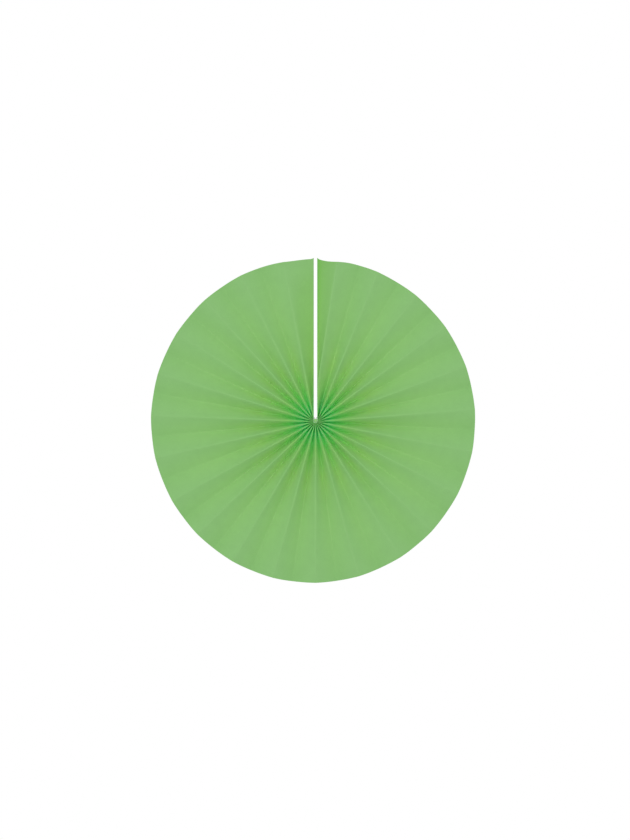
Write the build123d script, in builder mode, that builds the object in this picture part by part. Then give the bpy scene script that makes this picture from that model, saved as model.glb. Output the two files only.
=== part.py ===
from build123d import *
import os
from math import asin, atan2, cos, degrees, hypot, radians, sin, sqrt, tan, tau

# Paper fan rosette: a strip of paper pleated to and fro and fanned out into a full circle,
# its inner ends gathered on a thread. Millimetres, +Z up, the front faces -Y, origin at the hub.

os.makedirs("parts", exist_ok=True)

# Disc
disc_radius = 200.0
rim_shift = -2.8  # the rim's centre stands a little left of the hub
slit_width = 4.3  # open gap between the two ends of the strip, straight up from the hub

# Paper and its pleats
paper_thickness = 0.2
ridge_count = 23
hub_depth = 20.0  # front ridges to back folds, at the hub
rim_depth = 9.0  # the same at the rim
right_end_panel = 27.0  # along the rim, from the slit's middle to the first ridge
left_end_panel = 40.0
hub_slack = 0.15  # how loosely the folds are pressed together at the hub
facet_rows = 12  # flat facets along each twisted panel
facet_crowding = 1.5  # over 1, they are shorter towards the hub, where the twist is strongest

# Binding thread
thread_diameter = 0.6
thread_sides = 8
punch_margin = 1.5  # from the panels' inner ends to the punched holes
punch_clearance = 0.15
bend_share = 0.95  # of the thread's run into the slit, taken up by its bend down to the knot
knot_sides = 8  # of the knot's outline
knot_clearance = 0.25  # round the knot, in the eye of the hub
knot_set_back = 1.2  # from the front ridges to the middle of the knot

panel_count = 2 * ridge_count

# The inner ends stand on a ring round the eye of the hub, open at the slit
slit_half = slit_width / 2
eye_rise = panel_count * paper_thickness * hub_slack
hub_radius = hypot(slit_half, eye_rise)
hub_start = atan2(slit_half, eye_rise)
hub_step = (tau - 2 * hub_start) / panel_count
hub_pitch = hub_radius * hub_step

# Along the rim the regular pleats share what the two end panels leave
slit_angle = asin(-rim_shift / disc_radius)
first_ridge = slit_angle + right_end_panel / disc_radius
last_ridge = tau + slit_angle - left_end_panel / disc_radius
rim_step = (last_ridge - first_ridge) / (panel_count - 2)
rim_pitch = disc_radius * rim_step


def hub_point(fold):
    """Inner end of a fold, as (x, z)."""
    angle = hub_start + fold * hub_step
    return hub_radius * sin(angle), hub_radius * cos(angle)


def rim_point(fold):
    """Outer end of a fold, as (x, z). The first and last are the strip's own ends, at the slit."""
    if fold in (0, panel_count):
        x = slit_half if fold == 0 else -slit_half
        return x, sqrt(disc_radius**2 - (x - rim_shift) ** 2)
    angle = first_ridge + (fold - 1) * rim_step
    return rim_shift + disc_radius * sin(angle), disc_radius * cos(angle)


def fold_heights(share):
    """Height of a fold's outer and inner edge above mid-depth, at a share of the way from hub to rim."""
    depth = hub_depth + (rim_depth - hub_depth) * share
    pitch = hub_pitch + (rim_pitch - hub_pitch) * share
    # The two walls of a fold keep their thickness, so its mitre deepens where the folds crowd together
    rest = 1 - (paper_thickness / pitch) ** 2
    wall_drop = (depth - sqrt(depth**2 - rest * (depth**2 - paper_thickness**2))) / rest
    return depth / 2, wall_drop - depth / 2


def fold_edges(fold):
    """The front and back edge of a fold, as rows of points from hub to rim. Odd folds are ridges."""
    start_x, start_z = hub_point(fold)
    end_x, end_z = rim_point(fold)
    front, back = [], []
    for row in range(facet_rows + 1):
        share = (row / facet_rows) ** facet_crowding
        outer, inner = fold_heights(share)
        x = start_x + (end_x - start_x) * share
        z = start_z + (end_z - start_z) * share
        is_ridge = fold % 2 == 1
        front.append((x, -outer if is_ridge else inner, z))
        back.append((x, -inner if is_ridge else outer, z))
    return front, back


def flat_face(*corners):
    return Face(Wire.make_polygon(corners))


def panel_skin(ridge, valley):
    """One side of a panel: pairs of flat facets that turn with the twist from hub to rim."""
    facets = []
    for row in range(facet_rows):
        facets.append(flat_face(ridge[row], ridge[row + 1], valley[row + 1]))
        facets.append(flat_face(ridge[row], valley[row + 1], valley[row]))
    return facets


# The pleated sheet: every panel's two skins, the cut edges at rim and hub, and the two ends at the slit
folds = [fold_edges(fold) for fold in range(panel_count + 1)]
skins = []
for panel in range(panel_count):
    near, far = folds[panel], folds[panel + 1]
    ridge, valley = (far, near) if panel % 2 == 0 else (near, far)
    skins += panel_skin(ridge[0], valley[0]) + panel_skin(ridge[1], valley[1])
    for end in (0, -1):
        skins.append(flat_face(near[0][end], far[0][end], far[1][end], near[1][end]))
for front, back in (folds[0], folds[-1]):
    skins.append(flat_face(*front, *reversed(back)))
sheet = Solid(Shell(skins))

# The thread's ring crosses every panel near its inner end, at mid-depth
thread_radius = thread_diameter / 2
ring_radius = hub_radius + punch_margin


def punch_plane(panel):
    """Plane across the thread where its ring meets a panel's middle line."""
    near, far = folds[panel][0], folds[panel + 1][0]
    inner_end = (Vector(near[0]) + Vector(far[0])) / 2
    inner_end.Y = 0
    outer_end = (Vector(near[-1]) + Vector(far[-1])) / 2
    outer_end.Y = 0
    along = (outer_end - inner_end).normalized()
    lean = inner_end.dot(along)
    place = inner_end + along * (sqrt(lean**2 + ring_radius**2 - inner_end.length**2) - lean)
    return Plane(origin=place, z_dir=(place.Z, 0, -place.X))


with BuildPart() as pleated_paper:
    add(sheet)
    with BuildSketch(*[punch_plane(panel) for panel in range(panel_count)]):
        RegularPolygon(thread_radius + punch_clearance, thread_sides)
    extrude(amount=thread_diameter, both=True, mode=Mode.SUBTRACT)

# In the slit the ring ends, and a tail slants forward from each end to the knot in the eye of the hub
tail_x = slit_half / 2
bend_run = slit_half - tail_x - punch_clearance
knot_y = knot_set_back - hub_depth / 2
knot_radius = hub_radius - knot_clearance
ring_end_angle = asin((tail_x + bend_run) / ring_radius)
ring_end = Vector(ring_radius * sin(ring_end_angle), 0, ring_radius * cos(ring_end_angle))
bend_corner = ring_end + Vector(-cos(ring_end_angle), 0, sin(ring_end_angle)) * bend_run
tail_end = Vector(tail_x, knot_y, 0)
bend_turn = (bend_corner - ring_end).get_angle(tail_end - bend_corner)
bend_radius = bend_share * bend_run / tan(radians(bend_turn) / 2)

with BuildPart() as binding_thread:
    with BuildLine(Plane.XZ):
        tail = FilletPolyline(tail_end, bend_corner, ring_end, radius=bend_radius)
        CenterArc((0, 0), ring_radius, 90 - degrees(ring_end_angle), 2 * degrees(ring_end_angle) - 360)
        mirror(tail, about=Plane.YZ)
    with BuildSketch(Plane(origin=tail @ 0, z_dir=tail % 0)):
        RegularPolygon(thread_radius, thread_sides)
    sweep()
    with BuildSketch(Plane(origin=(0, knot_y, 0))):
        RegularPolygon(knot_radius, knot_sides, rotation=180 / knot_sides)
        split(bisect_by=Plane.YZ)
    revolve(axis=Axis.Y)

for piece, name in ((pleated_paper, "pleated_paper"), (binding_thread, "binding_thread")):
    piece.part.label = name
    export_step(piece.part, f"parts/{name}.step")
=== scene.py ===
import random
from math import asin, atan2, cos, exp, hypot, pi, radians, sin, sqrt, tau

import bpy
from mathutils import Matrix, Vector, noise


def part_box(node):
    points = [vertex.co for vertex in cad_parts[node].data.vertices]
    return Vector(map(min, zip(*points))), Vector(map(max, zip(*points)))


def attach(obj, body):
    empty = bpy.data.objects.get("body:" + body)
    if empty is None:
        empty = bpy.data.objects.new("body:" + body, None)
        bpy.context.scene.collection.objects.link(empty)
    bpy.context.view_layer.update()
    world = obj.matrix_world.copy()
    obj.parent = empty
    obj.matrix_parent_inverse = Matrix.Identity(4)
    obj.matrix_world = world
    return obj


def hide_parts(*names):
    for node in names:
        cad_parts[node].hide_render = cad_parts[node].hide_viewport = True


# Paper fan rosette: one pleated strip opened into a disc, its inner ends held by a thread.
# Metres, front towards -Y, hub at the origin, slit straight up.

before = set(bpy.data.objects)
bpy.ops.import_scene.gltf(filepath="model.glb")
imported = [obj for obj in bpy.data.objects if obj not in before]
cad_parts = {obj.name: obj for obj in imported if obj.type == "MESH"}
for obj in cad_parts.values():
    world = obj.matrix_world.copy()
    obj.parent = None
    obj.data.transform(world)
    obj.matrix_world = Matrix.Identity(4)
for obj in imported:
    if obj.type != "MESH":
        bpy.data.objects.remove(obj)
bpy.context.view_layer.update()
paperLow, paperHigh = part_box("pleated_paper")
threadLow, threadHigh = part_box("binding_thread")


# small helpers

def deselectAll():
    bpy.ops.object.select_all(action="DESELECT")


def makeActive(obj):
    deselectAll()
    obj.select_set(True)
    bpy.context.view_layer.objects.active = obj


def applyModifier(obj, kind, name, **values):
    makeActive(obj)
    modifier = obj.modifiers.new(name, kind)
    for key, value in values.items():
        setattr(modifier, key, value)
    bpy.ops.object.modifier_apply(modifier=modifier.name)


def blend(low, high, share):
    return low + (high - low) * share


def softStep(value):
    value = min(max(value, 0.0), 1.0)
    return value * value * (3 - 2 * value)


# pleated paper

paper = {
    "ridges": 23,
    "thick": 0.0002,
    "slit": 0.0043,           # open gap between the two ends of the strip
    "rimDepth": 0.009,        # front ridges to back folds at the rim
    "rightEnd": 0.027,        # along the rim, from the slit to the first ridge
    "leftEnd": 0.040,         # and from the last ridge to the slit
    "hubSlack": 0.15,         # how loosely the folds are pressed together at the hub
    "columns": 10,            # mesh columns across one panel
    "rows": 64,               # mesh rows from hub to rim
    "rowBias": 1.5,           # packs the rows towards the hub
    "smoothUnder": 50,        # degrees between faces that are shaded as one
    "crease": 0.0009,         # how softly a fold is rounded
    "creaseMost": 0.5,        # and at most this share of a panel
    "firstLeaves": 0.24,      # share of the way out where the first ridge leaves the slit
    "firstSwing": 0.85,       # how much of its way it makes up after that
    "rimBow": 0.0004,         # the cut edge bows out between folds
    "rightDip": 0.0025,       # it sinks right of the slit
    "rightDipEnds": 0.046,    # that far along the rim
    "rightDipLean": 0.62,     # under 1, deepest nearer to the slit
    "leftDip": 0.00105,       # and it sinks left of the slit
    "leftDipAt": -0.0343,
    "leftDipWide": 0.0173,
    "dipFades": 8,            # how fast these die out below the rim
    "horn": 0.0014,           # the strip's corners at the slit stand up
    "hornWide": 0.003,
    "hornFades": 40,
    "rimStray": 0.0022,       # uneven folding, along the rim
    "hubStray": 0.22,         # at the hub, as a share of the pitch there
    "depthStray": 0.08,       # and as a share of the depth
    "seed": 23,
    "wave": 0.00025,          # gentle waves in the panels
    "waveLength": 0.045,
    "waveApart": 0.7,         # moves each panel's waves on from those of the last
    "waveRise": 3,            # how fast they grow, full at a third of the way out
    "slitPanels": 3,          # right of the slit, and one on its left: they stand open
    "slitOpen": 0.85,         # so their folds get only the painted light of folds this deep
    "rightOpen": 0.50,        # at the hub only this deep, right of the slit
    "leftOpen": 0.24,         # and left of it
    "slitOpens": 0.4,         # of the way out, where the first of these three is reached
    "leftPaintedShade": 0.7,         # the left end panel gets less painted shade towards the slit
    "leftPaintedShadeFades": 0.5,    # of the way in from the rim, where it does so in full
}
panelCount = 2 * paper["ridges"]
foldCount = panelCount + 1
discRadius = (paperHigh.z - paperLow.z) / 2
rimX = (paperHigh.x + paperLow.x) / 2
rimZ = (paperHigh.z + paperLow.z) / 2
rimCentre = Vector((rimX, rimZ))
hubDepth = paperHigh.y - paperLow.y
slitHalf = paper["slit"] / 2
eyeRise = panelCount * paper["thick"] * paper["hubSlack"]
hubRadius = hypot(slitHalf, eyeRise)
hubStart = atan2(slitHalf, eyeRise)
hubStep = (tau - 2 * hubStart) / panelCount
slitAngle = asin(-rimX / discRadius)
firstRidge = slitAngle + paper["rightEnd"] / discRadius
lastRidge = tau + slitAngle - paper["leftEnd"] / discRadius
rimStep = (lastRidge - firstRidge) / (panelCount - 2)
stripLong = panelCount * hypot(discRadius * rimStep, paper["rimDepth"])   # flat, before folding
stripWide = discRadius - hubRadius

chance = random.Random(paper["seed"])
rimStrays = [chance.uniform(-1, 1) * paper["rimStray"] / discRadius for fold in range(foldCount)]
hubStrays = [chance.uniform(-1, 1) * paper["hubStray"] for fold in range(foldCount)]
depthStrays = [1 - chance.uniform(0, 1) * paper["depthStray"] for fold in range(foldCount)]


def foldPlace(fold, share):
    # x and z on a fold line, from the hub ring to the rim
    atEnd = fold in (0, panelCount)
    stray = 0 if atEnd else hubStrays[fold] * (1 - share)
    hubAngle = hubStart + (fold + stray) * hubStep
    hubPoint = Vector((hubRadius * sin(hubAngle), hubRadius * cos(hubAngle)))
    if atEnd:
        x = slitHalf if fold == 0 else -slitHalf
        rimPoint = Vector((x, rimZ + sqrt(discRadius ** 2 - (x - rimX) ** 2)))
    else:
        angle = firstRidge + (fold - 1) * rimStep
        if 1 < fold < panelCount - 1:   # the first and last ridge keep the end panels' widths
            angle += rimStrays[fold]
        rimPoint = Vector((rimX + discRadius * sin(angle), rimZ + discRadius * cos(angle)))
    place = hubPoint.lerp(rimPoint, share)
    if fold == 1:   # the first ridge runs along the slit before it swings out
        leaves = paper["firstLeaves"]
        swing = max(0.0, share - leaves) / (1 - leaves)
        place.x = blend(hubPoint.x, rimPoint.x, blend(share, swing, paper["firstSwing"]))
    return place


def foldHeight(fold, share):
    # odd folds are ridges, towards the front
    depth = blend(hubDepth, paper["rimDepth"], share) * depthStrays[fold]
    return (-depth if fold % 2 else depth) / 2


def panelShare(column):
    return 0.5 - 0.5 * cos(pi * column)   # columns crowd at the folds


def roundedShare(share, soft):
    # runs 0 to 1 across a panel, eased at both folds
    near = min(share, 1 - share)
    rise = (sqrt(near ** 2 + soft ** 2) - soft) / (2 * (sqrt(0.5 ** 2 + soft ** 2) - soft))
    return rise if share < 0.5 else 1 - rise


def shapeRim(flat, panel, bulge, out):
    # the cut edge bows out between folds, sinks beside the slit and stands up at its two corners
    outwards = (flat - rimCentre).normalized()
    flat = flat + outwards * paper["rimBow"] * bulge * out ** 2
    fromSlit = flat.x - slitHalf
    if 0 < fromSlit < paper["rightDipEnds"] and flat.y > 0:
        dip = sin(pi * (fromSlit / paper["rightDipEnds"]) ** paper["rightDipLean"]) ** 2
        flat.y -= paper["rightDip"] * dip * out ** paper["dipFades"]
    if flat.y > 0:
        dip = exp(-((flat.x - paper["leftDipAt"]) / paper["leftDipWide"]) ** 2)
        flat.y -= paper["leftDip"] * dip * out ** paper["dipFades"]
    cornerNear = 1 - (abs(flat.x) - slitHalf) / paper["hornWide"]
    if panel in (0, panelCount - 1) and cornerNear > 0:
        flat.y += paper["horn"] * cornerNear ** 2 * out ** paper["hornFades"]
    return flat


def stripToDisc(across, along):
    # across counts panels from the slit, along runs from hub to rim
    panel = min(int(across), panelCount - 1)
    share = panelShare(across - panel)
    out = along ** paper["rowBias"]
    start, end = foldPlace(panel, out), foldPlace(panel + 1, out)
    soft = min(paper["crease"] / (end - start).length, paper["creaseMost"])
    height = blend(foldHeight(panel, out), foldHeight(panel + 1, out), roundedShare(share, soft))
    bulge = sin(pi * share)
    flat = shapeRim(start.lerp(end, share), panel, bulge, out)
    spot = Vector((flat.x, across * paper["waveApart"], flat.y)) / paper["waveLength"]
    height += noise.noise(spot) * paper["wave"] * bulge * softStep(out * paper["waveRise"])
    return Vector((flat.x, height, flat.y))


def foldPaper():
    columns = panelCount * paper["columns"]
    deselectAll()
    bpy.ops.mesh.primitive_grid_add(x_subdivisions=columns, y_subdivisions=paper["rows"], size=1)
    sheet = bpy.context.object
    sheet.name = sheet.data.name = "pleatedPaper"
    for vertex in sheet.data.vertices:   # the flat grid runs from -0.5 to 0.5 both ways
        across = round((vertex.co.x + 0.5) * columns) / paper["columns"]
        vertex.co = stripToDisc(across, vertex.co.y + 0.5)
    applyModifier(sheet, "SOLIDIFY", "thickness", thickness=paper["thick"], offset=0)
    makeActive(sheet)
    bpy.ops.object.shade_smooth_by_angle(angle=radians(paper["smoothUnder"]))
    return sheet


def ridgeToValley(across):
    return panelShare(abs(1 - across % 2))


def foldBottom(across, out, front):
    # 0 on a fold that stands out on that face of the paper, 1 at the bottom of the next one
    # and less there beside the slit, where the folds stand open, so the painted light there is less
    if not front:
        return 1 - ridgeToValley(across)
    if across < paper["slitPanels"]:
        hubOpen = paper["rightOpen"]
    elif across > panelCount - 1:
        hubOpen = paper["leftOpen"]
    else:
        return ridgeToValley(across)
    return ridgeToValley(across) * blend(hubOpen, paper["slitOpen"], softStep(out / paper["slitOpens"]))


def paintedSlitShade(across, out):
    # painted shade: 0 to 1 across the two end panels, up to the slit
    if across < 1:
        return ridgeToValley(across)
    if across > panelCount - 1:
        inwards = softStep((1 - out) / paper["leftPaintedShadeFades"])
        return paper["leftPaintedShade"] * ridgeToValley(across) * inwards
    return 0.0


def markFolds(sheet):
    # stores both on the mesh, for the paper's colours and their painted light and shade
    corners = sheet.data.uv_layers[0].data
    bottoms = [0.0] * len(sheet.data.vertices)
    paintedShades = [0.0] * len(sheet.data.vertices)
    for face in sheet.data.polygons:
        front = face.normal.y < 0
        for loop in face.loop_indices:
            vertex = sheet.data.loops[loop].vertex_index
            across = corners[loop].uv.x * panelCount
            out = corners[loop].uv.y ** paper["rowBias"]
            bottoms[vertex] = foldBottom(across, out, front)
            if front:
                paintedShades[vertex] = paintedSlitShade(across, out)
    for name, values in (("foldBottom", bottoms), ("paintedSlitShade", paintedShades)):
        sheet.data.attributes.new(name, "FLOAT", "POINT").data.foreach_set("value", values)


pleatedPaper = foldPaper()
markFolds(pleatedPaper)
print("paper folded:", len(pleatedPaper.data.polygons), "faces")


# binding thread

thread = {
    "across": 0.0006,
    "plies": 2,
    "lay": 0.0016,            # length of one twist
    "step": 0.00015,          # between points on its route
    "easing": 24,             # rounds of smoothing at the route's two corners
    "roundness": 2,           # of a strand's section
    "knotRing": 0.0012,       # the knot's strand winds round this ring
    "knotWind": 0.00095,      # that far in and out of it
    "knotThick": 0.0014,      # and that far to the front and back
    "knotStrand": 0.0007,
    "knotLoops": 3,           # times round the ring
    "knotTurns": 11,          # and over it, in all
    "knotSteps": 24,          # points on one turn
    "knotCore": 0.0024,       # the turns underneath, as one body
    "coreThick": 0.0019,
    "coreSides": 32,
    "knotBack": 0.0012,       # how far its middle stays behind the front ridges
}
plyRadius = thread["across"] / 4   # two plies lie side by side
ringRadius = (threadHigh.x - threadLow.x) / 2 - thread["across"] / 2
tailX = slitHalf / 2
tailAngle = asin(tailX / ringRadius)
knotY = paperLow.y + thread["knotBack"]


def threadRoute():
    # up one tail from the knot, round through the panels and down the other tail
    knotEnd = Vector((tailX, knotY, 0))
    corner = Vector((tailX, 0, ringRadius * cos(tailAngle)))
    tailSteps = round((corner - knotEnd).length / thread["step"])
    ringSteps = round(ringRadius * tau / thread["step"])
    tail = [knotEnd.lerp(corner, step / tailSteps) for step in range(tailSteps)]
    ring = []
    for step in range(ringSteps + 1):
        angle = blend(tailAngle, tau - tailAngle, step / ringSteps)
        ring.append(Vector((ringRadius * sin(angle), 0, ringRadius * cos(angle))))
    points = tail + ring + [Vector((-spot.x, spot.y, spot.z)) for spot in reversed(tail)]
    for easing in range(thread["easing"]):
        points[1:-1] = [(before + 2 * here + after) / 4
                        for before, here, after in zip(points, points[1:], points[2:])]
    return points


def addTube(name, points, radius, closed):
    curve = bpy.data.curves.new(name, "CURVE")
    curve.dimensions = "3D"
    curve.bevel_depth = radius
    curve.bevel_resolution = thread["roundness"]
    curve.use_fill_caps = True
    spline = curve.splines.new("POLY")
    spline.points.add(len(points) - 1)
    for point, place in zip(spline.points, points):
        point.co = (*place, 1)
    spline.use_cyclic_u = closed
    tube = bpy.data.objects.new(name, curve)
    bpy.context.collection.objects.link(tube)
    makeActive(tube)
    bpy.ops.object.convert(target="MESH")
    return bpy.context.object


def addPly(route, ply):
    # winds round the route, each ply with its own start
    points = []
    for index, here in enumerate(route):
        ahead = route[min(index + 1, len(route) - 1)] - route[max(index - 1, 0)]
        side = ahead.cross(Vector((0, 1, 0))).normalized()
        lift = side.cross(ahead).normalized()
        turn = tau * (index * thread["step"] / thread["lay"] + ply / thread["plies"])
        points.append(here + (side * cos(turn) + lift * sin(turn)) * plyRadius)
    return addTube("ply", points, plyRadius, False)


def addKnot():
    # one strand wound over and over round a small ring
    points = []
    steps = thread["knotTurns"] * thread["knotSteps"]
    for step in range(steps):
        lap = tau * step / steps
        wind = lap * thread["knotTurns"]
        angle = lap * thread["knotLoops"]
        reach = thread["knotRing"] + thread["knotWind"] * cos(wind)
        height = knotY + thread["knotThick"] * sin(wind)
        points.append(Vector((reach * sin(angle), height, reach * cos(angle))))
    return addTube("knot", points, thread["knotStrand"] / 2, True)


def addKnotCore():
    sides = thread["coreSides"]
    deselectAll()
    bpy.ops.mesh.primitive_uv_sphere_add(segments=sides, ring_count=sides // 2, radius=thread["knotCore"])
    core = bpy.context.object
    for vertex in core.data.vertices:
        vertex.co.y = knotY + vertex.co.y * thread["coreThick"] / thread["knotCore"]
    return core


def twistThread():
    route = threadRoute()
    strands = [addPly(route, ply) for ply in range(thread["plies"])] + [addKnot(), addKnotCore()]
    deselectAll()
    for strand in strands:
        strand.select_set(True)
    bpy.context.view_layer.objects.active = strands[0]
    bpy.ops.object.join()
    tied = bpy.context.object
    tied.name = tied.data.name = "bindingThread"
    bpy.ops.object.shade_smooth()
    return tied


bindingThread = twistThread()
print("thread tied:", len(bindingThread.data.polygons), "faces")


# nodes for the materials

noiseSpan = (0.3, 0.7)   # where most values of a noise lie


def newMaterial(name):
    material = bpy.data.materials.new(name)
    material.use_nodes = True
    return material, material.node_tree.nodes["Principled BSDF"]


def addNode(tree, kind, **values):
    node = tree.nodes.new(kind)
    for key, value in values.items():
        setattr(node, key, value)
    return node


def feed(tree, socket, value):
    # a number or a colour is set on the socket itself, anything else is linked to it
    if isinstance(value, (int, float)):
        socket.default_value = value
    elif isinstance(value, tuple):
        socket.default_value = (*value, 1)
    else:
        tree.links.new(value, socket)


def mathNode(tree, operation, first, second):
    node = addNode(tree, "ShaderNodeMath", operation=operation)
    feed(tree, node.inputs[0], first)
    feed(tree, node.inputs[1], second)
    return node.outputs[0]


def mixColour(tree, share, first, second, how="MIX"):
    node = addNode(tree, "ShaderNodeMix", data_type="RGBA", blend_type=how)
    feed(tree, node.inputs[0], share)
    feed(tree, node.inputs[6], first)    # the sockets between are for numbers and vectors
    feed(tree, node.inputs[7], second)
    return node.outputs[2]


def rampNode(tree, source, stops):
    ramp = addNode(tree, "ShaderNodeValToRGB")
    elements = ramp.color_ramp.elements
    for index, (place, colour) in enumerate(stops):
        stop = elements[index] if index < 2 else elements.new(place)   # a new ramp has two
        stop.position = place
        stop.color = (*colour, 1)
    tree.links.new(source, ramp.inputs[0])
    return ramp.outputs[0]


def noiseNode(tree, place, size, detail):
    node = addNode(tree, "ShaderNodeTexNoise")
    tree.links.new(place, node.inputs["Vector"])
    node.inputs["Scale"].default_value = 1 / size
    node.inputs["Detail"].default_value = detail
    return node.outputs["Fac"]


def rangeNode(tree, source, low, high, fromLow=0.0, fromHigh=1.0, eased=False):
    node = addNode(tree, "ShaderNodeMapRange", interpolation_type="SMOOTHSTEP" if eased else "LINEAR")
    tree.links.new(source, node.inputs["Value"])
    node.inputs["From Min"].default_value = fromLow
    node.inputs["From Max"].default_value = fromHigh
    node.inputs["To Min"].default_value = low
    node.inputs["To Max"].default_value = high
    return node.outputs["Result"]


def bumpNode(tree, height, distance, under=None):
    node = addNode(tree, "ShaderNodeBump")
    node.inputs["Distance"].default_value = distance
    tree.links.new(height, node.inputs["Height"])
    if under:
        tree.links.new(under, node.inputs["Normal"])
    return node.outputs["Normal"]


# green paper

paperLook = {
    "ridges": [                       # along the folds that stand out, hub to rim: the paper's colour, with painted light towards the hub
        (0.00, (0.345, 0.770, 0.245)),
        (0.04, (0.315, 0.730, 0.220)),
        (0.06, (0.258, 0.640, 0.162)),
        (0.10, (0.210, 0.556, 0.131)),
        (0.16, (0.254, 0.573, 0.138)),
        (0.22, (0.258, 0.556, 0.156)),
        (0.34, (0.242, 0.518, 0.165)),
        (0.50, (0.253, 0.525, 0.170)),
        (1.00, (0.249, 0.507, 0.181)),
    ],
    "bottoms": [                      # and at the bottoms of the others, with painted light that makes them lighter where they are deep
        (0.00, (0.480, 0.985, 0.640)),
        (0.07, (0.480, 0.985, 0.640)),
        (0.11, (0.455, 0.924, 0.460)),
        (0.16, (0.443, 0.872, 0.355)),
        (0.22, (0.463, 0.828, 0.300)),
        (0.34, (0.420, 0.722, 0.230)),
        (0.50, (0.320, 0.612, 0.202)),
        (1.00, (0.241, 0.504, 0.167)),
    ],
    "ridgeFades": (0.52, 0.96),       # share of a panel that the first fades over, at the hub and beyond
    "fadeSpan": (0.09, 0.24),         # of the way out, from the one share to the other
    "paintedSlitShades": [                   # painted shade: the end panels darken towards the slit
        (0.00, (1.00, 1.00, 1.00)),
        (0.12, (0.92, 0.96, 0.85)),
        (0.60, (0.89, 0.96, 0.78)),
        (0.75, (0.87, 0.96, 0.72)),
        (0.87, (0.76, 0.94, 0.58)),
        (1.00, (0.62, 0.90, 0.46)),
    ],
    "cloudSize": 0.011,               # uneven pulp
    "cloudDetail": 3,
    "cloudDepth": 0.025,
    "fibreLong": 0.0022,
    "fibreWide": 0.00025,
    "fibreDetail": 2,
    "fibreDepth": 0.05,
    "fibreHeight": 0.00003,
    "grainSpan": (0.25, 0.75),        # of the pulp's and fibres' noise, from darkest to lightest
    "toothSize": 0.0003,
    "toothDetail": 2,
    "toothHeight": 0.00002,
    "creaseWide": 0.012,              # of a panel, where the folds that stand out are paler
    "creasePale": 0.08,
    "creaseColour": (0.60, 0.88, 0.50),
    "valleyWide": 0.08,               # of a panel, where the folds pinch the light out
    "valleyTint": (0.78, 0.90, 0.92),
    "valleyEnds": (0.28, 0.50),       # of the way out, where that fades
    "rough": (0.80, 0.92),
    "shine": 0.2,
}


def flatStrip(tree, split, out):
    # the paper's own flat measure in metres, along the strip and across it
    flat = addNode(tree, "ShaderNodeCombineXYZ")
    tree.links.new(mathNode(tree, "MULTIPLY", split.outputs[0], stripLong), flat.inputs[0])
    tree.links.new(mathNode(tree, "MULTIPLY", out, stripWide), flat.inputs[1])
    return flat.outputs[0]


def foldColourWithPaintedLight(tree, out, folds):
    # the paper's colour with painted light in the deep folds and towards the hub, times the painted shade
    # beside the slit
    slit = addNode(tree, "ShaderNodeAttribute", attribute_name="paintedSlitShade").outputs["Fac"]
    ridges = rampNode(tree, out, paperLook["ridges"])
    bottoms = rampNode(tree, out, paperLook["bottoms"])
    fades = rangeNode(tree, out, *paperLook["ridgeFades"], *paperLook["fadeSpan"])
    down = rangeNode(tree, mathNode(tree, "DIVIDE", folds, fades), 0.0, 1.0, eased=True)
    colour = mixColour(tree, down, ridges, bottoms)
    return mixColour(tree, 1.0, colour, rampNode(tree, slit, paperLook["paintedSlitShades"]), "MULTIPLY")


def creaseColour(tree, colour, out, folds, fibre):
    # paler along the folds that stand out
    paleCrease = rangeNode(tree, folds, 1.0, 0.0, 0.0, paperLook["creaseWide"])
    pale = rangeNode(tree, fibre, 0.0, paperLook["creasePale"], *noiseSpan)
    paleCrease = mathNode(tree, "MULTIPLY", paleCrease, pale)
    colour = mixColour(tree, paleCrease, colour, paperLook["creaseColour"])
    # less light at the bottoms of the others, towards the hub
    pinched = rangeNode(tree, folds, 0.0, 1.0, 1 - paperLook["valleyWide"], 1.0)
    inner = rangeNode(tree, out, 1.0, 0.0, *paperLook["valleyEnds"])
    pinched = mathNode(tree, "MULTIPLY", pinched, inner)
    return mixColour(tree, pinched, colour, paperLook["valleyTint"], "MULTIPLY")


def paperMaterial():
    material, shader = newMaterial("greenPaper")
    tree = material.node_tree
    coords = addNode(tree, "ShaderNodeTexCoord")
    split = addNode(tree, "ShaderNodeSeparateXYZ")
    tree.links.new(coords.outputs["UV"], split.inputs[0])
    out = mathNode(tree, "POWER", split.outputs[1], paper["rowBias"])
    flat = flatStrip(tree, split, out)
    folds = addNode(tree, "ShaderNodeAttribute", attribute_name="foldBottom").outputs["Fac"]
    colour = foldColourWithPaintedLight(tree, out, folds)

    # pulp, fibres that lie along the strip, and the paper's tooth
    fibreScale = addNode(tree, "ShaderNodeMapping")
    tree.links.new(flat, fibreScale.inputs["Vector"])
    fibreScale.inputs["Scale"].default_value = (1, paperLook["fibreLong"] / paperLook["fibreWide"], 1)
    cloud = noiseNode(tree, flat, paperLook["cloudSize"], paperLook["cloudDetail"])
    fibre = noiseNode(tree, fibreScale.outputs[0], paperLook["fibreLong"], paperLook["fibreDetail"])
    tooth = noiseNode(tree, flat, paperLook["toothSize"], paperLook["toothDetail"])
    for grain, depth in ((cloud, paperLook["cloudDepth"]), (fibre, paperLook["fibreDepth"])):
        tone = rangeNode(tree, grain, 1 - depth, 1 + depth, *paperLook["grainSpan"])
        colour = mixColour(tree, 1.0, colour, tone, "MULTIPLY")

    colour = creaseColour(tree, colour, out, folds, fibre)
    tree.links.new(colour, shader.inputs["Base Color"])
    tree.links.new(rangeNode(tree, cloud, *paperLook["rough"], *noiseSpan), shader.inputs["Roughness"])
    normal = bumpNode(tree, fibre, paperLook["fibreHeight"])
    normal = bumpNode(tree, tooth, paperLook["toothHeight"], normal)
    tree.links.new(normal, shader.inputs["Normal"])
    shader.inputs["Specular IOR Level"].default_value = paperLook["shine"]
    return material


# green thread

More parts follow.
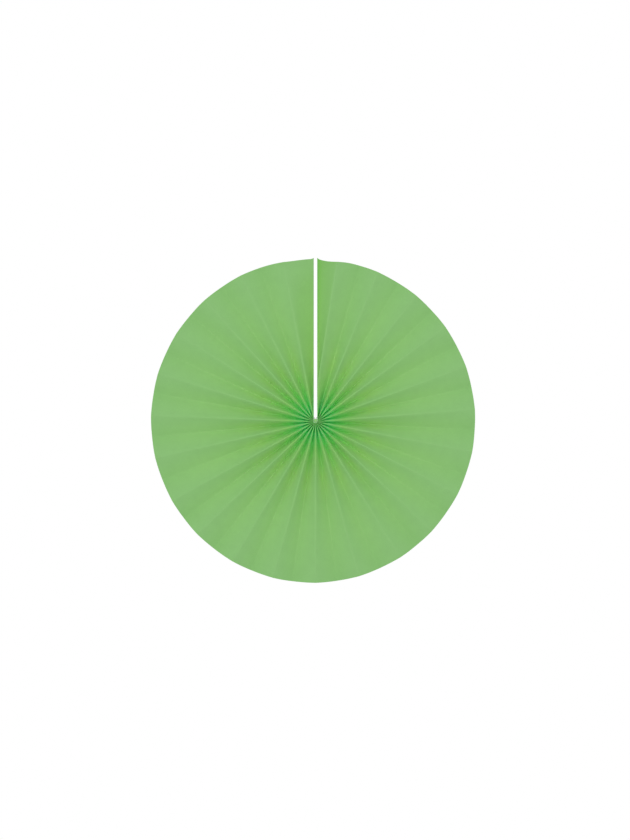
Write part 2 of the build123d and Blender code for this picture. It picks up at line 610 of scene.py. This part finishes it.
threadLook = {
    "pale": (0.31, 0.62, 0.21),
    "deep": (0.19, 0.46, 0.13),
    "fibreSize": 0.00012,
    "fibreDetail": 3,
    "fibrePale": (0.2, 1.0),          # how pale the fibres are, least and most
    "fibreHeight": 0.00003,
    "stainSize": 0.0016,              # uneven dye
    "stainDetail": 2,
    "stainPale": (0.6, 1.0),
    "rough": 0.9,
    "fuzz": 0.3,
}


def threadMaterial():
    material, shader = newMaterial("greenThread")
    tree = material.node_tree
    place = addNode(tree, "ShaderNodeTexCoord").outputs["Object"]
    fibre = noiseNode(tree, place, threadLook["fibreSize"], threadLook["fibreDetail"])
    stain = noiseNode(tree, place, threadLook["stainSize"], threadLook["stainDetail"])
    fibrePale = rangeNode(tree, fibre, *threadLook["fibrePale"], *noiseSpan)
    stainPale = rangeNode(tree, stain, *threadLook["stainPale"], *noiseSpan)
    share = mathNode(tree, "MULTIPLY", fibrePale, stainPale)
    colour = mixColour(tree, share, threadLook["deep"], threadLook["pale"])
    tree.links.new(colour, shader.inputs["Base Color"])
    tree.links.new(bumpNode(tree, fibre, threadLook["fibreHeight"]), shader.inputs["Normal"])
    shader.inputs["Roughness"].default_value = threadLook["rough"]
    shader.inputs["Sheen Weight"].default_value = threadLook["fuzz"]
    return material


pleatedPaper.data.materials.append(paperMaterial())
bindingThread.data.materials.append(threadMaterial())
print("materials made")


# stage, light and camera

stage = {
    "floorZ": -0.75,
    "floorRadius": 0.62,
    "floorSides": 96,
    "floorColour": (0.86, 0.86, 0.85),
    "floorRough": 0.9,
    "ambient": 0.94,                  # the pale room's light on the object
    "keyPower": 14.0,
    "keySize": 2.2,
    "keyPlace": (-1.75, -3.1, 2.2),
    "bounces": 12,                    # light goes to and fro in the deep folds
    "cameraAway": 4.0,
    "sensorHigh": 36,                 # millimetres
    "picture": (630, 840),            # its size in pixels
    "hubPixel": (315.5, 420.7),       # where the hub stands in it
    "discPixels": 324.05,             # how wide the disc is there
}


def addFloor():
    deselectAll()
    bpy.ops.mesh.primitive_circle_add(vertices=stage["floorSides"], radius=stage["floorRadius"],
                                      fill_type="NGON", location=(0, 0, stage["floorZ"]))
    floor = bpy.context.object
    floor.name = "floor"
    material, shader = newMaterial("paleFloor")
    shader.inputs["Base Color"].default_value = (*stage["floorColour"], 1)
    shader.inputs["Roughness"].default_value = stage["floorRough"]
    floor.data.materials.append(material)


def lightWorld():
    # white where it is seen, a little less as light
    world = bpy.data.worlds.new("paleRoom")
    bpy.context.scene.world = world
    world.use_nodes = True
    tree = world.node_tree
    back = tree.nodes["Background"]
    back.inputs["Color"].default_value = (1, 1, 1, 1)
    path = addNode(tree, "ShaderNodeLightPath")
    seen = mathNode(tree, "MAXIMUM", path.outputs["Is Camera Ray"], path.outputs["Is Glossy Ray"])
    seen = mathNode(tree, "MAXIMUM", seen, path.outputs["Is Transmission Ray"])
    level = addNode(tree, "ShaderNodeMix", data_type="FLOAT")
    feed(tree, level.inputs[0], seen)
    feed(tree, level.inputs[2], stage["ambient"])
    feed(tree, level.inputs[3], 1.0)
    tree.links.new(level.outputs[0], back.inputs["Strength"])


def addKey():
    lamp = bpy.data.lights.new("softKey", "AREA")
    lamp.shape = "DISK"
    lamp.size = stage["keySize"]
    lamp.energy = stage["keyPower"]
    key = bpy.data.objects.new("softKey", lamp)
    bpy.context.collection.objects.link(key)
    key.location = stage["keyPlace"]
    key.rotation_euler = (-Vector(stage["keyPlace"])).to_track_quat("-Z", "Y").to_euler()


def addCamera():
    camera = bpy.data.cameras.new("photoCamera")
    holder = bpy.data.objects.new("photoCamera", camera)
    bpy.context.collection.objects.link(holder)
    holder.location = (0, -stage["cameraAway"], 0)
    holder.rotation_euler = (radians(90), 0, 0)   # level, straight at the front
    wide, high = stage["picture"]
    hubAcross, hubDown = stage["hubPixel"]
    metresHigh = high * 2 * discRadius / stage["discPixels"]
    camera.sensor_fit = "VERTICAL"
    camera.sensor_height = stage["sensorHigh"]
    camera.lens = stage["sensorHigh"] * stage["cameraAway"] / metresHigh
    camera.shift_x = (wide / 2 - hubAcross) / high
    camera.shift_y = (hubDown - high / 2) / high
    bpy.context.scene.camera = holder


addFloor()
lightWorld()
addKey()
addCamera()
bpy.context.scene.view_settings.view_transform = "Standard"
bpy.context.scene.cycles.diffuse_bounces = stage["bounces"]
print("stage set")


# hand over

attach(pleatedPaper, "root")
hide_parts("pleated_paper")
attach(bindingThread, "root")
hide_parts("binding_thread")
